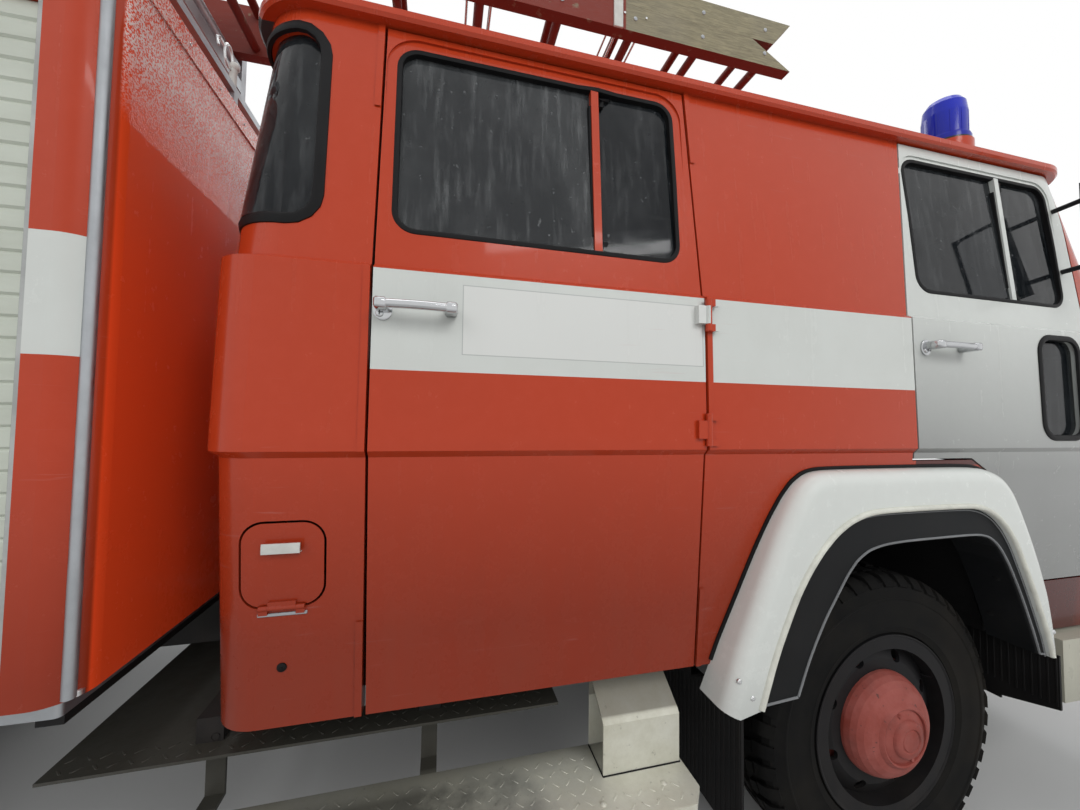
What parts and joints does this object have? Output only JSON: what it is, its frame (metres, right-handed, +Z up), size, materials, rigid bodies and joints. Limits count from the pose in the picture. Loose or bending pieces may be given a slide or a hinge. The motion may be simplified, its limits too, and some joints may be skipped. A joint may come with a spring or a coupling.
{
  "type": "fire engine",
  "caption": "Forward-control fire engine with a long crew cab, white front doors and fenders, a box body with roller shutters, blue roof beacons and a wooden ladder on a roof rack.",
  "frame": {"origin": "on the ground under the middle of the vehicle's length and width", "axes": "+X forward, +Y to the vehicle's left, +Z up"},
  "size_m": [6.635, 2.8, 3.1933],
  "materials": {
    "red_paint": "gloss orange-red paint",
    "white_paint": "gloss white paint",
    "cream_paint": "gloss pale grey-cream paint",
    "chassis_black": "dull black paint",
    "rim_black": "satin black paint",
    "hub_red": "satin red paint",
    "tyre": "worn rubber",
    "black_rubber": "matt black rubber",
    "aluminium": "dull aluminium",
    "shutter_slats": "light grey-green slats",
    "black_plastic": "matt black",
    "grey_cover": "dark grey moulding",
    "seat_cloth": "dark cloth",
    "glass": "dark dusty glass",
    "lamp_clear": "clear lens",
    "lamp_red": "red lens",
    "beacon_blue": "translucent blue dome",
    "ladder_wood": "weathered wood"
  },
  "bodies": {
    "vehicle": {"cab_middle_panels": "red_paint", "cab_rear": "red_paint", "cab_front": "red_paint", "cab_roof": "red_paint", "body_end_walls": "red_paint", "body_sides": "red_paint", "body_roof": "red_paint", "fenders": "white_paint", "bumper": "cream_paint", "chassis_frame": "chassis_black", "front_axle": "chassis_black", "rear_axle": "chassis_black", "leaf_springs": "chassis_black", "driveline": "chassis_black", "engine_block": "chassis_black", "fuel_tank": "chassis_black", "cab_floor": "chassis_black", "fender_flares": "black_rubber", "arch_liners": "black_rubber", "footboards": "aluminium", "corner_strips": "aluminium", "roof_rack": "aluminium", "body_floor": "aluminium", "roller_shutters": "shutter_slats", "dashboard": "black_plastic", "grille": "black_plastic", "engine_cover": "grey_cover", "seats": "seat_cloth", "cab_glass": "glass", "headlamps": "lamp_clear", "tail_lamps": "lamp_red", "beacons": "beacon_blue"},
    "door_fr": {"door_front_right": "white_paint", "glass_front_right": "glass", "mirrors_right": "black_plastic"},
    "door_fl": {"door_front_left": "white_paint", "glass_front_left": "glass", "mirrors_left": "black_plastic"},
    "door_rr": {"door_rear_right": "red_paint", "glass_rear_right": "glass"},
    "door_rl": {"door_rear_left": "red_paint", "glass_rear_left": "glass"},
    "flap": {"hatch": "red_paint"},
    "knuckle_r": {"knuckle_right": "chassis_black"},
    "knuckle_l": {"knuckle_left": "chassis_black"},
    "steering_wheel": {"steering_wheel": "black_plastic"},
    "wheel_fr": {"tyre_front_right": "tyre", "rim_front_right": "rim_black", "hub_front_right": "hub_red"},
    "wheel_fl": {"tyre_front_left": "tyre", "rim_front_left": "rim_black", "hub_front_left": "hub_red"},
    "wheels_rr": {"tyres_rear_right": "tyre", "rims_rear_right": "rim_black", "hub_rear_right": "hub_red"},
    "wheels_rl": {"tyres_rear_left": "tyre", "rims_rear_left": "rim_black", "hub_rear_left": "hub_red"},
    "ladder_base": {"ladder_base": "ladder_wood"},
    "ladder_fly": {"ladder_fly": "ladder_wood"}
  },
  "joints": [
    {"name": "steer_right", "type": "hinge", "parent": "vehicle", "child": "knuckle_r", "pos_m": [1.9725, -0.88, 0.48], "axis": [0, 0, 1], "range_deg": [-32, 32]},
    {"name": "steer_left", "type": "hinge", "parent": "vehicle", "child": "knuckle_l", "pos_m": [1.9725, 0.88, 0.48], "axis": [0, 0, 1], "range_deg": [-32, 32]},
    {"name": "steering_wheel_turn", "type": "hinge", "parent": "vehicle", "child": "steering_wheel", "pos_m": [2.6725, 0.69, 1.745], "axis": [-0.5, 0, 0.866], "range_deg": [-576, 576]},
    {"name": "spin_front_right", "type": "hinge", "parent": "knuckle_r", "child": "wheel_fr", "pos_m": [1.9725, -1.03, 0.48], "axis": [0, 1, 0], "continuous": true},
    {"name": "spin_front_left", "type": "hinge", "parent": "knuckle_l", "child": "wheel_fl", "pos_m": [1.9725, 1.03, 0.48], "axis": [0, 1, 0], "continuous": true},
    {"name": "spin_rear_right", "type": "hinge", "parent": "vehicle", "child": "wheels_rr", "pos_m": [-1.7275, -0.919, 0.48], "axis": [0, 1, 0], "continuous": true},
    {"name": "spin_rear_left", "type": "hinge", "parent": "vehicle", "child": "wheels_rl", "pos_m": [-1.7275, 0.919, 0.48], "axis": [0, 1, 0], "continuous": true},
    {"name": "open_front_right", "type": "hinge", "parent": "vehicle", "child": "door_fr", "pos_m": [2.9425, -1.206, 1.6], "axis": [0, 0, 1], "range_deg": [0, 75]},
    {"name": "open_front_left", "type": "hinge", "parent": "vehicle", "child": "door_fl", "pos_m": [2.9425, 1.206, 1.6], "axis": [0, 0, -1], "range_deg": [0, 75]},
    {"name": "open_rear_right", "type": "hinge", "parent": "vehicle", "child": "door_rr", "pos_m": [1.2575, -1.206, 1.6], "axis": [0, 0, 1], "range_deg": [0, 80]},
    {"name": "open_rear_left", "type": "hinge", "parent": "vehicle", "child": "door_rl", "pos_m": [1.2575, 1.206, 1.6], "axis": [0, 0, -1], "range_deg": [0, 80]},
    {"name": "open_flap", "type": "hinge", "parent": "vehicle", "child": "flap", "pos_m": [0.2025, -1.162, 1.038], "axis": [1, 0, 0], "range_deg": [0, 100]},
    {"name": "ladder_draw", "type": "slide", "parent": "vehicle", "child": "ladder_base", "axis": [-1, 0, 0], "range_m": [0, 2.2]},
    {"name": "ladder_extend", "type": "slide", "parent": "ladder_base", "child": "ladder_fly", "axis": [1, 0, 0], "range_m": [0, 3.4]}
  ],
  "couplings": [
    {"joint": "steer_left", "follows": "steer_right", "ratio": 1},
    {"joint": "steering_wheel_turn", "follows": "steer_right", "ratio": 18}
  ]
}
